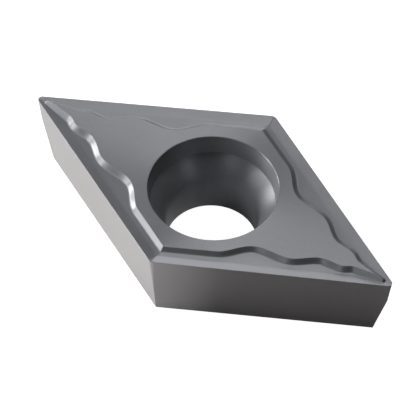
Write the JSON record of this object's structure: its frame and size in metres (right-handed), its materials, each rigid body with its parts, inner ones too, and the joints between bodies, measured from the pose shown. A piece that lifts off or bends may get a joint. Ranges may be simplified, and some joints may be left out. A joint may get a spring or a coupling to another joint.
{
  "type": "carbide insert",
  "caption": "Rhombic positive cutting insert with acute noses, relieved flanks, a wavy pressed chip groove along each cutting edge and a countersunk screw hole.",
  "frame": {"origin": "axis of the screw hole, in the plane of the flat underside that the insert is seated on", "axes": "+Z along the hole, from the underside up to the top land; X through the two acute noses; Y through the two obtuse corners"},
  "size_m": [0.0202, 0.0106, 0.0041],
  "materials": {
    "carbide": "fine satin, as sintered"
  },
  "bodies": {
    "root": {"insert": "carbide"}
  },
  "joints": []
}
